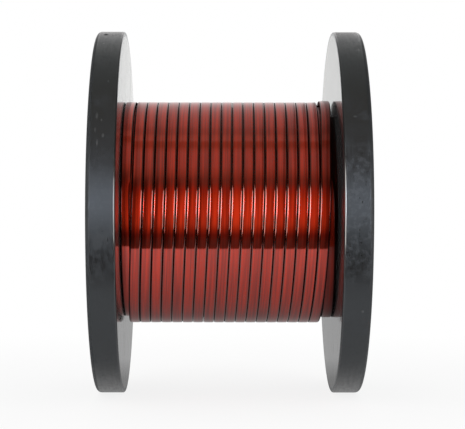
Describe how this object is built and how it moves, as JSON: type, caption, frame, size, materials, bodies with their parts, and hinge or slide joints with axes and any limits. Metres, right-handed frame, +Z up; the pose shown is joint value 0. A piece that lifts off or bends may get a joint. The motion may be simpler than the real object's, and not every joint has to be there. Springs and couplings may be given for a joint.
{
  "type": "wire spool",
  "caption": "Wire spool with thick black ribbed flanges bolted through a barrel, steel arbor bushes and a winding of flat red enamelled wire.",
  "frame": {"origin": "middle of the spool's axis, halfway between the flanges", "axes": "+X along the spool's axis towards the right flange; +Z up, with the spool lying on both rims; -Y is the front, where the wire climbs"},
  "size_m": [0.18, 0.25, 0.25],
  "materials": {
    "flange_plastic": "black moulded plastic, semi-gloss, lightly scuffed",
    "barrel_plastic": "black moulded plastic, matt",
    "liner_paper": "brown kraft paper",
    "tube_steel": "drawn steel tube",
    "bush_steel": "turned steel",
    "rod_steel": "threaded steel rod",
    "zinc_steel": "zinc-plated steel",
    "enamelled_wire": "deep red glossy enamel over copper",
    "tape": "paper adhesive tape"
  },
  "bodies": {
    "root": {"left_flange": "flange_plastic", "right_flange": "flange_plastic", "barrel": "barrel_plastic", "barrel_liner": "liner_paper", "arbor_tube": "tube_steel", "left_arbor_bush": "bush_steel", "right_arbor_bush": "bush_steel", "tie_rod_1": "rod_steel", "tie_rod_2": "rod_steel", "tie_rod_3": "rod_steel", "tie_rod_4": "rod_steel", "left_washers": "zinc_steel", "right_washers": "zinc_steel", "left_nuts": "zinc_steel", "right_nuts": "zinc_steel", "inner_layers": "enamelled_wire", "outer_layer": "enamelled_wire", "start_tail": "enamelled_wire", "end_tape": "tape"}
  },
  "joints": []
}
